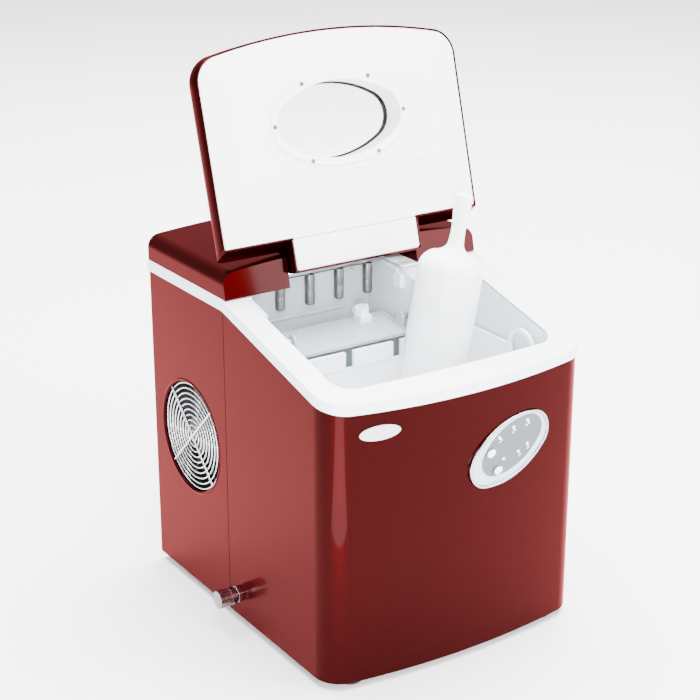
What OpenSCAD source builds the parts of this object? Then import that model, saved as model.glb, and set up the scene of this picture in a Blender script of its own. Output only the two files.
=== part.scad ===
// Countertop ice maker with its lid open on the stop, and a scoop standing in the ice basket.
// X runs across the front, -Y is the front, Z is up. The lid, the basket, the scoop, the water tray,
// the fan, the pump impeller, the two buttons and the drain cap move.

/* [Cabinet] */
// Width of the cabinet, side panel to side panel
cabinet_w = 292; // [288:1:296]
// Depth of the side panels, from the back to where the front starts to bow
cabinet_d = 330.4; // [328:0.2:334]
// How far the middle of the front stands out past its corners
front_bow = 14.4; // [13:0.1:16]
// Radius of the two upright front corners
front_corner_r = 27.3; // [25:0.1:30]
// Height of the red side panels at the back
panel_top_z = 323.3; // [322:0.1:325]
// Fall of the front half of the rim, in height per unit of depth
rim_slope = 0.2547; // [0.25:0.001:0.26]
// Depth at which the rim starts to fall, and where the front and rear shells meet
seam_y = 15.4; // [15:0.1:16]
// Wall of the painted shells
shell_wall = 2; // [1.6:0.1:2.4]
// Height of the rubber feet
foot_h = 8; // [7:0.5:9]

/* [Bezel and bin] */
// Height of the white band round the top
bezel_h = 11.4; // [11:0.1:12]
// How far the band stands out past the panels
bezel_overhang = 2; // [1.5:0.1:2.5]
// Width of the opening over the bin
bin_w = 244.6; // [243:0.1:246]
// Front of the bin, at its middle
bin_front_y = -153; // [-154:0.5:-152]
// Floor of the bin
bin_floor_z = 62; // [60:1:66]
// Depth of the basket below its rim
basket_h = 112; // [100:1:116]

/* [Lid] */
// Width of the lid
lid_w = 293; // [292:0.5:294]
// Length of the lid from its ear cut-outs to the middle of its front edge
lid_len = 193.3; // [192:0.1:195]
// Thickness of the lid's side wall before it rounds over
lid_side_t = 13; // [12:0.5:14]
// Lean of the open lid from upright
lid_lean = 15.7; // [15.5:0.1:16]
// Half-width of the window
window_a = 70; // [68:0.5:71]
// Half-height of the window
window_b = 37; // [36:0.5:38]

/* [Hinge] */
// Place of the lid's hinge line, front to back
hinge_y = 22.6; // [22:0.1:23]
// Height of the lid's hinge line
hinge_z = 358; // [357.5:0.1:358.5]
// Radius of the hinge pins
hinge_pin_r = 3; // [2.5:0.1:3.5]

/* [Cooling] */
// Number of cooling fingers
finger_count = 4; // [3:1:4]
// Distance between the cooling fingers
finger_pitch = 34.4; // [33:0.1:35]
// Radius of a cooling finger
finger_r = 5; // [4.5:0.1:5.2]
// Radius of the fan opening in the left side
fan_hole_r = 58.5; // [57:0.5:60]
// Number of wire rings in the fan grille
grille_rings = 10; // [8:1:10]

/* [Water tray] */
// Place of the tray's pivot, front to back
tray_pivot_y = 0; // [-1:0.5:1]
// Height of the tray's pivot
tray_pivot_z = 285; // [284:0.5:286]
// How far the tray is tipped from level to shed the ice
tray_tip = 80; // [78:1:80]

/* [Hidden] */

// The cabinet's own mid-plane is off the middle of the whole, because the drain cap stands out on the left
cabinet_x = 12;
cabinet_y = 7.5;

far = 400;
thin = 0.05;
running_gap = 0.05;
// A bend in a pipe is this much fatter than its straight stretches
bend_swell = 1.15;

// Cabinet
back_y = cabinet_d / 2;
front_corner_y = -cabinet_d / 2;
half_w = cabinet_w / 2;
front_r = (half_w * half_w + front_bow * front_bow) / (2 * front_bow);
front_mid_y = front_corner_y - front_bow;
rim_z = panel_top_z + bezel_h;
pan_t = 3;
seam_gap = 0.6;
bezel_skin = 3;

// Lid
lid_bow = 17.6;
lid_bow_r = (lid_w * lid_w / 4 + lid_bow * lid_bow) / (2 * lid_bow);
lid_corner_r = 27;
lid_round_r = 12;
lid_wall = 1.6;
lid_undercut = 0.436;
hinge_t = 19.8;
hinge_v = -19.5;
lid_y = hinge_y - hinge_t * cos(lid_lean) - hinge_v * sin(lid_lean);
lid_z = hinge_z + hinge_t * sin(lid_lean) - hinge_v * cos(lid_lean);
tongue_w = 146.2;
tongue_end_v = -31.8;
tongue_end_t = 14;
knuckle_r = 7.5;
liner_t = 2.4;
window_v = 107;
notch_half_w = 74.7;
notch_back_y = 46;

// Top cover
cover_gap = 0.2;
cover_top_z = 365.85;
cover_bow_r = 1613;
cover_corner_r = 13;
cover_front_y = 9.7;
cover_back_y = back_y + 1.3;
cover_lean = 0.214;
cover_wall = 2.5;

// Bin and evaporator chamber
bin_back_y = -17;
bin_bow_r = 2500;
opening_back_y = 9.6;
liner_wall = 2;
chamber_x0 = -86;
chamber_x1 = 56;
chamber_back_y = 70;
chamber_floor_z = 222;
pocket_x0 = -116;
pocket_floor_z = 248;
liner_top = bezel_h - bezel_skin - 0.2;

// Control panel: its own frame has X along the front, Y up and Z outwards
panel_x = 47.5;
panel_z = 207;
panel_tilt = 21.6;
rim_a = 50.5;
rim_b = 30;
rim_t = 3;
pad_a = 39;
pad_b = 22;
pad_tilt = 26;
power_button_at = [-24.5, 2.2];
select_button_at = [-15.4, -17.1];
light_at = [[20.9, 23.9], [3.5, 21], [-13.9, 14.9], [21.5, -0.2], [10.4, -5], [-7.8, -7.9]];

// Drain
drain_y = -5;
drain_z = 34;

// Fan
fan_y = 88.5;
fan_z = 168.7;
fan_x = -half_w + 5;
fan_size = 120;
fan_t = 25;
blade_count = 7;

// Cooling
finger_x0 = -65.3;
finger_y = 45;
finger_tip_z = 300;
evaporator_y = 46;
evaporator_z = 336;
evaporator_r = 5.5;
compressor_at = [60, 104, 22];

// Water tray, in the frame of its pivot when level
tray_x0 = -80;
tray_x1 = 48;
tray_front = 9.5;
tray_back = 58;
tray_low = -17;
tray_top = 33;
tray_wall = 2;
tray_shaft_r = 2.5;

// Pump
pump_at = [98, 36, 14];

// Basket
basket_top_z = 270;
basket_x = 118.5;
basket_y0 = -147;
basket_y1 = -19;
basket_wall = 2;

// Scoop
scoop_at = [53, -55, 265];
scoop_lean = 10.9;
scoop_turn = 62;
scoop_bowl_r = 33.4;

/* ---- shared shapes ---- */

// Points round a plate with a straight base, a bowed far edge and round far corners
function bowed_points(w, h, bow_r, corner_r, low, steps) =
    let (mid = h - bow_r, cx = w / 2 - corner_r,
         cy = mid + sqrt(pow(bow_r - corner_r, 2) - pow(cx, 2)),
         turn = asin(cx / (bow_r - corner_r)))
    concat(
        [[-w / 2, low], [w / 2, low]],
        [for (i = [0 : steps]) let (a = i / steps * (90 - turn))
            [cx + corner_r * cos(a), cy + corner_r * sin(a)]],
        [for (i = [1 : 2 * steps - 1]) let (a = (1 - i / steps) * turn)
            [bow_r * sin(a), mid + bow_r * cos(a)]],
        [for (i = [steps : -1 : 0]) let (a = i / steps * (90 - turn))
            [-cx - corner_r * cos(a), cy + corner_r * sin(a)]]
    );

module bowed_outline(w, h, bow_r, corner_r) polygon(bowed_points(w, h, bow_r, corner_r, 0, 14));

// Oval of four arcs, half-width a and half-height b
module oval(a, b) {
    end_r = 1.25 * b * b / a;
    c = (pow(a - end_r, 2) - pow(b - end_r, 2)) / (2 * (b - end_r));
    side_r = b + c;
    touch_x = (a - end_r) * side_r / (side_r - end_r);
    intersection() {
        translate([0, -c]) circle(side_r, $fn = 240);
        translate([0, c]) circle(side_r, $fn = 240);
        square([2 * touch_x, 4 * b], center = true);
    }
    for (s = [-1, 1]) translate([s * (a - end_r), 0]) circle(end_r, $fn = 96);
}

// Solid from height z0 to z1 over a plane shape
module slab(z0, z1) translate([0, 0, z0]) linear_extrude(z1 - z0) children();

// Plane shape in X and Z, made solid from y0 to y1
module deep(y0, y1) translate([0, y1, 0]) rotate([90, 0, 0]) linear_extrude(y1 - y0) children();

// Plane shape in Y and Z, made solid from x0 to x1
module across(x0, x1) translate([x0, 0, 0]) rotate([90, 0, 90]) linear_extrude(x1 - x0) children();

// Round bar along X
module x_rod(x0, x1, y, z, r) translate([x0, y, z]) rotate([0, 90, 0]) cylinder(h = x1 - x0, r = r, $fn = 64);

module box(low, high) translate(low) cube(high - low);

module placed() translate([cabinet_x, cabinet_y, 0]) children();

// Outline of the cabinet seen from above, moved in by inset
module plan(inset) translate([0, back_y - inset]) rotate(180)
    bowed_outline(cabinet_w - 2 * inset, back_y - front_mid_y - 2 * inset,
                  front_r - inset, front_corner_r - inset);

// Everything under the rim line of the side panels, raised by dz
module under_rim(dz) {
    front = -260;
    across(-far, far) polygon([
        [260, -10], [260, panel_top_z + dz], [seam_y, panel_top_z + dz],
        [front, panel_top_z + dz - rim_slope * (seam_y - front)], [front, -10]
    ]);
}

// Pipe through a list of points, with a ball at each bend
module pipe(points, r) {
    for (i = [0 : len(points) - 2]) {
        d = points[i + 1] - points[i];
        translate(points[i])
            rotate([0, acos(d[2] / norm(d)), atan2(d[1], d[0])])
                cylinder(h = norm(d), r = r, $fn = 24);
    }
    for (i = [1 : 1 : len(points) - 2]) translate(points[i]) sphere(bend_swell * r, $fn = 24);
}

/* ---- cabinet ---- */

module base_pan() color("dimgray") {
    slab(foot_h + 0.5, foot_h + 0.5 + pan_t) plan(shell_wall + 0.4);
}

module foot() {
    top = foot_h + 0.5;
    rotate_extrude($fn = 64) polygon([[0, 0], [10, 0], [11, 1], [11, top - 2.5], [9, top], [0, top]]);
}

module feet() color("#181818") {
    for (x = [-113, 113], y = [-152, 145]) translate([x, y, 0]) foot();
}

// Wall of the cabinet all round, with its rim cut to the falling line
module cabinet_wall() difference() {
    intersection() {
        slab(foot_h, far) plan(0);
        under_rim(0);
    }
    slab(0, far + 1) plan(shell_wall);
}

module front_shell() color("#a0101c") difference() {
    union() {
        intersection() {
            cabinet_wall();
            box([-far, -far, 0], [far, seam_y - seam_gap / 2, far]);
        }
        // lip behind the seam
        for (s = [-1, 1]) translate([s * (half_w - shell_wall - 0.9), seam_y - 4, 0])
            box([-0.7, -6, foot_h + 6], [0.7, 12, panel_top_z - 8]);
        for (s = [-1, 1]) translate([s * (half_w - shell_wall - 0.5), seam_y - 8, 0])
            box([-0.6, -2, foot_h + 6], [0.6, 4, panel_top_z - 12]);
    }
    on_front(panel_x, panel_z) rotate(panel_tilt) translate([0, 0, -10])
        linear_extrude(20) oval(rim_a + 0.2, rim_b + 0.2);
    x_rod(-half_w - 5, -half_w + 8, drain_y, drain_z, 5.2);
}

module rear_shell() color("#8c0e18") {
    difference() {
        intersection() {
            cabinet_wall();
            box([-far, seam_y + seam_gap / 2, 0], [far, far, far]);
        }
        x_rod(-half_w - 5, -half_w + 5, fan_y, fan_z, fan_hole_r);
        // air slots in the right side
        for (i = [0 : 8]) box([half_w - 5, 50, 70 + 12 * i], [half_w + 5, 120, 75 + 12 * i]);
        // air slots in the back
        for (i = [0 : 6], s = [-1, 0]) box([-20 + 60 * s - 25, back_y - 5, 170 + 12 * i],
                                           [-20 + 60 * s + 25, back_y + 5, 175 + 12 * i]);
        box([86, back_y - 5, 29], [114, back_y + 5, 51]);
    }
    // rolled lip round the fan opening
    translate([-half_w - 0.5, fan_y, fan_z]) rotate([0, 90, 0]) rotate_extrude($fn = 128)
        polygon([[fan_hole_r - 1.5, 1], [fan_hole_r - 0.5, 0], [fan_hole_r + 1, 0], [fan_hole_r + 1.6, 0.5],
                 [fan_hole_r + 1.6, 1], [fan_hole_r, 1], [fan_hole_r, 6], [fan_hole_r - 1.5, 6]]);
}

// Opening over the bin, seen from above, moved out by grow
module bin_outline(grow) translate([0, opening_back_y + grow]) rotate(180)
    bowed_outline(bin_w + 2 * grow, opening_back_y - bin_front_y + 2 * grow, bin_bow_r, 20 + grow);

// Mouth of the evaporator chamber, seen from above
module chamber_outline(grow) translate([chamber_x0 - grow, bin_back_y])
    square([chamber_x1 - chamber_x0 + 2 * grow, chamber_back_y + grow - bin_back_y]);

// Shallow side pocket that widens the chamber on the left
module pocket_outline(grow) translate([pocket_x0 - grow, bin_back_y])
    square([chamber_x0 - pocket_x0 + 2 * grow, chamber_back_y + grow - bin_back_y]);

module bezel() color("white") difference() {
    intersection() {
        slab(200, far) plan(-bezel_overhang);
        difference() {
            under_rim(bezel_h);
            under_rim(0);
        }
    }
    intersection() {
        slab(190, far) plan(shell_wall + 0.6);
        under_rim(bezel_h - bezel_skin);
    }
    slab(190, far) bin_outline(0);
    slab(190, far) chamber_outline(0);
    slab(190, far) pocket_outline(0);
    // way through for the two refrigerant pipes
    slab(190, far) translate([-36, 60]) square([122, 36]);
}

module cover_profile(inset) translate([0, rim_z + cover_gap - (inset > 0 ? 1 : 0)])
    bowed_outline(cabinet_w - 2 * inset,
                  cover_top_z - rim_z - cover_gap - inset + (inset > 0 ? 1 : 0),
                  cover_bow_r - inset, cover_corner_r - inset);

module top_cover() color("#c01825") difference() {
    deep(cover_front_y, cover_back_y) cover_profile(0);
    // ear fronts lean back
    across(-far, far) polygon([
        [cover_front_y - 20, rim_z - 5], [cover_front_y - 5 * cover_lean, rim_z - 5],
        [cover_front_y + 40 * cover_lean, rim_z + 40], [cover_front_y - 20, rim_z + 40]
    ]);
    // hollow inside, with a wall left round the notch
    difference() {
        deep(cover_front_y + 10, cover_back_y - cover_wall) cover_profile(cover_wall);
        box([-notch_half_w - cover_wall, 0, 0], [notch_half_w + cover_wall, notch_back_y + cover_wall, far]);
    }
    // notch for the lid's tongue
    box([-notch_half_w, 0, 300], [notch_half_w, notch_back_y, far]);
    // room for the evaporator under the notch's back wall
    box([-notch_half_w, notch_back_y - 1, 300], [notch_half_w, notch_back_y + 4, evaporator_z + 7.5]);
    x_rod(-half_w + 20, half_w - 20, hinge_y, hinge_z, hinge_pin_r + 0.02);
}

module bin_liner() color("#f2f6fa") difference() {
    intersection() {
        union() {
            slab(bin_floor_z - liner_wall, far) difference() {
                bin_outline(liner_wall);
                translate([-far, bin_back_y + liner_wall]) square([2 * far, far]);
            }
            // ledges on both sides of the chamber
            intersection() {
                slab(200, far) bin_outline(liner_wall);
                difference() {
                    under_rim(liner_top);
                    under_rim(liner_top - liner_wall);
                }
            }
            slab(chamber_floor_z - liner_wall, far) chamber_outline(liner_wall);
            slab(pocket_floor_z - liner_wall, far) pocket_outline(liner_wall);
        }
        under_rim(liner_top);
    }
    slab(bin_floor_z, far) difference() {
        bin_outline(0);
        translate([-far, bin_back_y]) square([2 * far, far]);
    }
    slab(chamber_floor_z, far) translate([0, -liner_wall / 2]) chamber_outline(0);
    slab(chamber_floor_z, far) chamber_outline(0);
    slab(pocket_floor_z, far) {
        pocket_outline(0);
        translate([0, -liner_wall / 2]) pocket_outline(0);
    }
    // shaft holes, spout hole and drain hole
    x_rod(pocket_x0 - 5, chamber_x1 + 5, tray_pivot_y, tray_pivot_z, tray_shaft_r + running_gap);
    translate([38, chamber_back_y - 5, 322]) rotate([-90, 0, 0]) cylinder(h = 12, r = 4.2, $fn = 48);
    translate([-100, -40, bin_floor_z - 5]) cylinder(h = 10, r = 4, $fn = 48);
}

module insulation() color("#e8e4d0") difference() {
    slab(bin_floor_z, 262) difference() {
        plan(shell_wall + 0.5);
        bin_outline(liner_wall + 0.5);
        translate([-far, bin_back_y]) square([2 * far, far]);
    }
    box([panel_x - 56, -far, 160], [panel_x + 56, -158, 255]);
}

/* ---- control panel ---- */

// Frame on the bowed front at a given x: local Z points outwards
module on_front(x, z) {
    angle = asin(x / front_r);
    translate([x, front_mid_y + front_r * (1 - cos(angle)), z])
        rotate([0, 0, angle]) rotate([90, 0, 0]) children();
}

module panel_piece(z0, z1) on_front(panel_x, panel_z) translate([0, 0, z0])
    linear_extrude(z1 - z0) children();

module control_rim() color("silver") panel_piece(-rim_t, 1.6) rotate(panel_tilt) difference() {
    oval(rim_a, rim_b);
    oval(rim_a - 2.6, rim_b - 2.6);
}

module stem_holes(r) for (p = [power_button_at, select_button_at]) translate(p) circle(r, $fn = 32);

module control_plate() color("#dce8f0") panel_piece(-rim_t, 0.4) difference() {
    rotate(panel_tilt) oval(rim_a - 2.8, rim_b - 2.8);
    stem_holes(2.4);
}

module control_pad() color("#8a9096") panel_piece(0.45, 1.1) difference() {
    translate([3, 3]) rotate(pad_tilt) oval(pad_a, pad_b);
    stem_holes(2.4);
}

module indicator_lights() color("#d8e8d8") for (p = light_at) panel_piece(1.12, 1.7)
    translate(p) circle(1.6, $fn = 32);

module button(at) {
    panel_piece(2.3, 3.6) translate(at) rotate(panel_tilt) oval(4.7, 3.4);
    panel_piece(-8, 2.3) translate(at) circle(2, $fn = 32);
}

module power_button() color("white") button(power_button_at);

module select_button() color("white") button(select_button_at);

module control_board() color("darkgreen") {
    panel_piece(-14, -12.4) translate([-44, -28]) square([88, 56]);
    for (p = [power_button_at, select_button_at]) panel_piece(-12.4, -9.2)
        translate(p) square([6, 6], center = true);
}

module badge() color("white") on_front(-96, 255.6) {
    translate([0, 0, 0.05]) linear_extrude(1.4)
        polygon([for (a = [0 : 7.5 : 359]) [20.5 * cos(a), 7 * sin(a)]]);
}

/* ---- drain ---- */

module drain_nipple() color("silver") difference() {
    union() {
        x_rod(-half_w - 20, -half_w + 16, drain_y, drain_z, 5);
        x_rod(-half_w + shell_wall + 0.1, -half_w + shell_wall + 3, drain_y, drain_z, 9);
    }
    x_rod(-half_w - 21, -half_w + 17, drain_y, drain_z, 3);
}

module drain_nut() color("gray") difference() {
    translate([-half_w - 6.2, drain_y, drain_z]) rotate([0, 90, 0]) cylinder(h = 6, r = 9.2, $fn = 6);
    x_rod(-half_w - 8, -half_w + 1, drain_y, drain_z, 5.05);
}

module drain_cap() color("#505258") difference() {
    x_rod(-half_w - 26, -half_w - 8, drain_y, drain_z, 9);
    x_rod(-half_w - 22, -half_w - 7, drain_y, drain_z, 5.1);
    for (i = [0 : 19]) translate([-half_w - 27, drain_y, drain_z]) rotate([18 * i, 0, 0])
        translate([0, 9.4, 0]) rotate([0, 90, 0]) cylinder(h = 14, r = 1, $fn = 16);
}

module drain_hose() color("#e0e0e0") difference() {
    union() {
        pipe([[-half_w + 14, drain_y, drain_z], [-100, drain_y, drain_z], [-100, -40, drain_z],
              [-100, -40, bin_floor_z - liner_wall]], 7);
    }
    x_rod(-half_w + 10, -half_w + 16.1, drain_y, drain_z, 5.02);
}

/* ---- fan and cooling ---- */

module fan_grille() color("silver") translate([-half_w + 3.2, fan_y, fan_z]) rotate([0, 90, 0]) {
    for (i = [1 : grille_rings]) rotate_extrude($fn = 96)
        translate([5.5 * i, 0]) circle(0.85, $fn = 16);
    for (a = [45, 135]) rotate(a) translate([-fan_hole_r + 1.4, 0, -1.3]) rotate([0, 90, 0])
        cylinder(h = 2 * fan_hole_r - 2.8, r = 1, $fn = 24);
}

module fan_frame() color("#202020") {
    difference() {
        box([fan_x + 1, fan_y - fan_size / 2, fan_z - fan_size / 2],
            [fan_x + 1 + fan_t, fan_y + fan_size / 2, fan_z + fan_size / 2]);
        x_rod(fan_x - 1, fan_x + fan_t + 5, fan_y, fan_z, 56);
    }
    difference() {
        union() {
            x_rod(fan_x + fan_t - 2, fan_x + fan_t + 1, fan_y, fan_z, 18);
            for (a = [45 : 90 : 315]) translate([fan_x + fan_t - 2, fan_y, fan_z]) rotate([a, 0, 0])
                box([0, 15, -2], [3, 57, 2]);
        }
        x_rod(fan_x + 10, fan_x + fan_t + 5, fan_y, fan_z, 2 + running_gap);
    }
}

module fan_rotor() color("#303030") {
    x_rod(fan_x + 4, fan_x + fan_t - 3, fan_y, fan_z, 19);
    x_rod(fan_x + fan_t - 3, fan_x + fan_t + 1, fan_y, fan_z, 2);
    intersection() {
        x_rod(fan_x + 4, fan_x + fan_t - 3, fan_y, fan_z, 53.5);
        for (i = [0 : blade_count - 1])
            translate([fan_x + 13, fan_y, fan_z]) rotate([360 / blade_count * i, 0, 0])
                translate([0, 0, 36]) rotate([0, 0, 40]) cube([1.6, 24, 38], center = true);
    }
}

module condenser() color("#b0b4b8") {
    x0 = -114;
    x1 = -94;
    for (i = [0 : 18]) box([x0, 30, 112 + 6 * i], [x1, 147, 112.8 + 6 * i]);
    for (y = [40 : 19 : 140]) translate([(x0 + x1) / 2, y, 110]) cylinder(h = 114, r = 4, $fn = 32);
}

module compressor() color("#151515") translate(compressor_at) {
    cylinder(h = 3, r = 56, $fn = 96);
    cylinder(h = 92, r = 48, $fn = 128);
    translate([0, 0, 92]) intersection() {
        translate([0, 0, -42]) sphere(63.8, $fn = 96);
        cylinder(h = 30, r = 48, $fn = 128);
    }
    translate([0, 0, 44]) cylinder(h = 5, r = 50, $fn = 128);
}

module compressor_mounts() color("#101010") for (a = [30 : 120 : 270])
    translate([compressor_at[0] + 50 * cos(a), compressor_at[1] + 50 * sin(a), foot_h + 0.5 + pan_t])
        cylinder(h = compressor_at[2] - foot_h - 0.5 - pan_t, r = 7, $fn = 48);

module filter_drier() color("#b87333") translate([-30, 130, 60]) rotate_extrude($fn = 64)
    polygon([[0, 0], [3, 0], [9, 12], [9, 68], [3, 80], [0, 80]]);

module discharge_pipe() color("#b87333")
    pipe([[30, 104, 130.5], [30, 104, 150], [-66, 104, 150], [-66, 104, 200], [-94, 104, 200]], 2.5);

module liquid_line() color("#b87333")
    pipe([[-94, 122, 100], [-60, 122, 100], [-60, 130, 40], [-30, 130, 40], [-30, 130, 59.5]], 2.5);

module capillary_tube() color("#b87333")
    pipe([[-30, 130, 140.5], [-30, 130, 240], [-30, 90, 240], [-30, 90, evaporator_z],
          [-30, evaporator_y + evaporator_r - 0.1, evaporator_z]], 2);

module suction_pipe() color("#b87333")
    pipe([[80, 104, 133.7], [80, 104, 190], [80, 90, 240], [80, 90, evaporator_z], [30, 90, evaporator_z],
          [30, evaporator_y + evaporator_r - 0.1, evaporator_z]], 3);

module evaporator() color("#c0c4c8") {
    x_rod(-73.5, 54, evaporator_y, evaporator_z, evaporator_r);
}

module cooling_fingers() color("#96968f") difference() {
    for (i = [0 : finger_count - 1])
        translate([finger_x0 + finger_pitch * i, finger_y, finger_tip_z]) {
            cylinder(h = 1.2, r1 = finger_r - 1.2, r2 = finger_r, $fn = 64);
            translate([0, 0, 1.2]) cylinder(h = evaporator_z - 4 - finger_tip_z - 1.2, r = finger_r, $fn = 64);
        }
    // saddle under the evaporator tube
    x_rod(-far, far, evaporator_y, evaporator_z, evaporator_r + 0.02);
}

module ice_sensor() color("#303030") {
    box([chamber_x1 - 5, 6, 312], [chamber_x1, 18, 326]);
    pipe([[chamber_x1 - 3, 12, 326], [chamber_x1 - 4, 14, 330], [chamber_x1 - 4, 30, 331]], 1);
}

/* ---- water tray and pump ---- */

// Frame of the tray's pivot, tipped to shed the ice
module in_tray() translate([0, tray_pivot_y, tray_pivot_z]) rotate([-tray_tip, 0, 0]) children();

module water_tray() color("#cdd7dc") in_tray() difference() {
    union() {
        box([tray_x0, tray_front, tray_low], [tray_x1, tray_front + tray_wall, tray_top]);
        box([tray_x0, tray_front, 2], [tray_x1, tray_back, tray_top]);
        // raised bead round the face the ice slides on
        box([tray_x0, tray_front - 1.6, tray_low], [tray_x1, tray_front, tray_low + 2.5]);
        for (x = [tray_x0, tray_x1 - 2.5])
            box([x, tray_front - 1.6, tray_low], [x + 2.5, tray_front, tray_top]);
        // ears that carry the pivots
        for (x = [tray_x0, tray_x1 - tray_wall]) {
            x_rod(x, x + tray_wall, 0, 0, 6);
            box([x, 0, -6], [x + tray_wall, tray_front + 1, 6]);
        }
    }
    box([tray_x0 + tray_wall, tray_front + tray_wall, 4], [tray_x1 - tray_wall, tray_back - tray_wall, far]);
}

module tray_bracket() color("white") in_tray() {
    box([12, tray_front - 7, tray_top - 16], [25, tray_front, tray_top - 3]);
    box([14, tray_front - 14, tray_top - 12], [23, tray_front - 7, tray_top - 1]);
    x_rod(11, 26, tray_front - 10, tray_top - 4, 4);
}

module tray_shaft() color("silver") {
    x_rod(tray_x1, 68, tray_pivot_y, tray_pivot_z, tray_shaft_r);
    x_rod(pocket_x0 - 5, tray_x0, tray_pivot_y, tray_pivot_z, tray_shaft_r);
}

module tray_motor() color("#d0d0c8") difference() {
    union() {
        x_rod(62, 90, tray_pivot_y, tray_pivot_z - 6, 14);
        x_rod(60, 62, tray_pivot_y, tray_pivot_z, 7);
        box([62, tray_pivot_y - 12, tray_pivot_z - 14], [74, tray_pivot_y + 12, tray_pivot_z + 12]);
    }
    x_rod(59, 70, tray_pivot_y, tray_pivot_z, tray_shaft_r + running_gap);
}

module water_pump() color("#f0f0f0") translate(pump_at) difference() {
    union() {
        cylinder(h = 14, r = 18, $fn = 96);
        translate([0, 0, 14]) cylinder(h = 40, r = 14, $fn = 96);
        translate([0, -12, 7]) rotate([90, 0, 0]) cylinder(h = 14, r = 4, $fn = 48);
    }
    translate([0, 0, 3]) cylinder(h = 8, r = 15, $fn = 96);
    translate([0, 0, 8]) cylinder(h = 20, r = 2 + running_gap, $fn = 48);
    translate([0, -10, 7]) rotate([90, 0, 0]) cylinder(h = 20, r = 2.5, $fn = 48);
}

module pump_impeller() color("#3060a0") translate(pump_at) {
    translate([0, 0, 3.5]) cylinder(h = 1.2, r = 13.5, $fn = 96);
    translate([0, 0, 3.5]) cylinder(h = 22, r = 2, $fn = 48);
    for (i = [0 : 5]) rotate(60 * i) box([1, -0.6, 4.5], [13, 0.6, 10]);
}

module water_tube() color("#dfeaf2") {
    pipe([[pump_at[0] - 24, 6, 21], [98, 6, 21], [98, 9.9, 21]], 3.5);
    pipe([[74, 6, 21], [74, 6, 60], [110, 6, 110], [110, 60, 160], [110, 80, 322], [38, 80, 322],
          [38, 62, 322]], 3.5);
}

/* ---- electrics and fasteners ---- */

module power_board() color("darkgreen") {
    box([104, 20, 236], [105.6, 92, 312]);
    box([92, 30, 246], [104, 54, 268]);
    box([90, 62, 272], [104, 84, 300]);
}

module power_inlet() color("#202020") {
    difference() {
        union() {
            box([86.5, back_y - 18, 29.5], [113.5, back_y, 50.5]);
            box([82, back_y, 26], [118, back_y + 1.6, 54]);
        }
        box([89.5, back_y - 14, 32.5], [110.5, back_y + 3, 47.5]);
    }
    for (x = [94, 100, 106]) box([x - 1, back_y - 15, 38], [x + 1, back_y - 8, 42]);
}

module case_screws() color("silver") for (x = [-134, 134], z = [24, 160, 308]) {
    translate([x, back_y, z]) rotate([-90, 0, 0]) difference() {
        cylinder(h = 1.4, r = 3.4, $fn = 48);
        for (a = [0, 90]) rotate(a) box([-2, -0.4, 0.6], [2, 0.4, 2]);
    }
}

/* ---- lid ---- */

// Frame of the lid: X across, Y through its thickness to the outside, Z up its length
module in_lid() translate([0, lid_y, lid_z]) rotate([-lid_lean, 0, 0]) children();

// Points round the lid's outline, moved in by inset, with its base at height low
function lid_points(inset, low) = bowed_points(lid_w - 2 * inset, lid_len - inset, lid_bow_r - inset,
                                               max(lid_corner_r - inset, 2), low, 8);

module lid_slice(inset, t, low) deep(t, t + thin) polygon(lid_points(inset, low));

// Crowned lid with a rounded outer edge, and a lower edge undercut to meet the ears
module lid_form(wall, front_t) {
    round_r = lid_round_r - wall;
    hull() {
        lid_slice(wall, front_t, -lid_undercut * max(front_t, 0) + wall);
        for (a = [0 : 22.5 : 90])
            lid_slice(wall + round_r * (1 - cos(a)), lid_side_t + round_r * sin(a),
                      -lid_undercut * (lid_side_t + round_r * sin(a)) + wall * 1.1);
        lid_slice(45, 26.7 - wall, 35);
        lid_slice(80, 27.7 - wall, 60);
    }
}

module lid_shell() color("#b01020") in_lid() difference() {
    lid_form(0, 0);
    lid_form(lid_wall, -1);
    // way through for the liner between the ears
    box([-tongue_w / 2 + 1.7, -1, -5], [tongue_w / 2 - 1.7, liner_t + 0.2, 5]);
    translate([0, 0, window_v]) deep(10, 40) oval(window_a - 2.5, window_b - 2.5);
}

module tongue_profile() {
    polygon([[0, tongue_end_v], [tongue_end_t, tongue_end_v], [hinge_t + 4.5, hinge_v - 6],
             [hinge_t + knuckle_r, hinge_v], [hinge_t + knuckle_r, -lid_undercut * (hinge_t + knuckle_r) - 0.1],
             [0, -0.1]]);
    translate([hinge_t, hinge_v]) circle(knuckle_r, $fn = 64);
}

module lid_tongue() color("#981020") in_lid() difference() {
    across(-tongue_w / 2, tongue_w / 2) tongue_profile();
    box([-58, -1, tongue_end_v + 3], [58, tongue_end_t - 2, -8]);
    box([-tongue_w / 2 + lid_wall, -1, tongue_end_v + 1.6], [tongue_w / 2 - lid_wall, liner_t + 0.1, 5]);
    for (s = [-1, 1]) x_rod(s > 0 ? 58 : -80, s > 0 ? 80 : -58, hinge_t, hinge_v, hinge_pin_r + running_gap);
}

module lid_liner() color("white") in_lid() difference() {
    union() {
        deep(0, liner_t) polygon(lid_points(lid_wall + 0.3, 2));
        deep(0, liner_t) translate([-tongue_w / 2 + 1.9, tongue_end_v + 1.9])
            square([tongue_w - 3.8, 2.5 - tongue_end_v]);
        // raised field
        deep(-0.6, 0.5) translate([-120, 58]) square([240, 100]);
    }
    translate([0, 0, window_v]) deep(-5, 5) oval(window_a + 2.6, window_b + 2.6);
    screw_places() translate([0, 6, 0]) rotate([90, 0, 0]) cylinder(h = 10, r = 1.3, $fn = 24);
}

// Six screws round the window
module screw_places() for (p = [[73.4, 0], [-73.4, 0], [37.7, 36.6], [-37.7, 36.6], [37.7, -36.6], [-37.7, -36.6]])
    translate([p[0], 0, window_v + p[1]]) children();

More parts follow.
